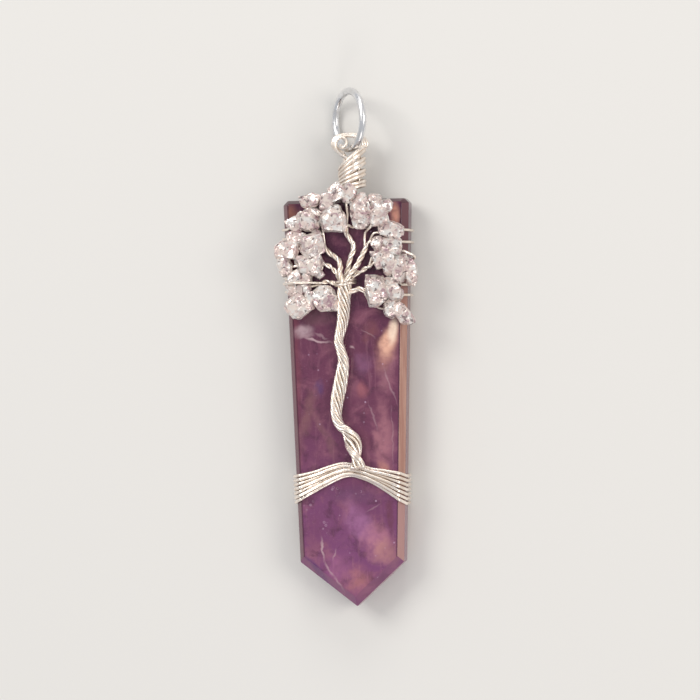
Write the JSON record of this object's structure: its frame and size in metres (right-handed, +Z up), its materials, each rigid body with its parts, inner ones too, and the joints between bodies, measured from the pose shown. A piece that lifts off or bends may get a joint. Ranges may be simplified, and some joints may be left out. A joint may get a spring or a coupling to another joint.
{
  "type": "tree of life crystal pendant",
  "caption": "Flat amethyst point wrapped in silver wire as a tree of life with quartz chip leaves, a wire-wrapped neck and a round jump ring for a chain.",
  "frame": {"origin": "middle of the bounding box, on the floor that the pendant lies on", "axes": "+Y along the pendant from the tip to the ring, +Z up out of its front face, +X to the right seen from the front"},
  "size_m": [0.0192, 0.0709, 0.0085],
  "materials": {
    "amethyst": "polished, cloudy, dark plum to violet",
    "quartz": "broken faces, clear to milky",
    "silver_wire": "bright drawn wire",
    "ring_metal": "polished"
  },
  "bodies": {
    "root": {"crystal_point": "amethyst", "trunk": "silver_wire", "root_wires": "silver_wire", "crown_wrap": "silver_wire", "back_wires": "silver_wire", "neck_wrap": "silver_wire", "bail_eye": "silver_wire", "jump_ring": "ring_metal", "branch_l1": "silver_wire", "branch_l2": "silver_wire", "branch_l3": "silver_wire", "branch_t": "silver_wire", "branch_r3": "silver_wire", "branch_r2": "silver_wire", "branch_r1": "silver_wire", "chip_l1_1_1": "quartz", "chip_l1_1_2": "quartz", "chip_l1_3_1": "quartz", "chip_l1_3_2": "quartz", "chip_l1_3_3": "quartz", "chip_l2_1_1": "quartz", "chip_l2_1_2": "quartz", "chip_l2_2_1": "quartz", "chip_l2_2_2": "quartz", "chip_l2_2_3": "quartz", "chip_l3_1_1": "quartz", "chip_l3_1_2": "quartz", "chip_l3_2_1": "quartz", "chip_l3_2_2": "quartz", "chip_l3_2_3": "quartz", "chip_l3_3_3": "quartz", "chip_l3_3_5": "quartz", "chip_l3_4_1": "quartz", "chip_t_1_1": "quartz", "chip_t_1_3": "quartz", "chip_t_1_4": "quartz", "chip_t_2_2": "quartz", "chip_t_3_2": "quartz", "chip_r3_1_3": "quartz", "chip_r3_1_4": "quartz", "chip_r3_1_5": "quartz", "chip_r3_2_1": "quartz", "chip_r3_3_1": "quartz", "chip_r3_3_2": "quartz", "chip_r2_1_1": "quartz", "chip_r2_1_2": "quartz", "chip_r2_1_3": "quartz", "chip_r2_1_4": "quartz", "chip_r2_2_2": "quartz", "chip_r1_1_1": "quartz", "chip_r1_1_2": "quartz", "chip_r1_2_2": "quartz", "chip_r1_3_2": "quartz", "chip_r1_3_3": "quartz"}
  },
  "joints": []
}
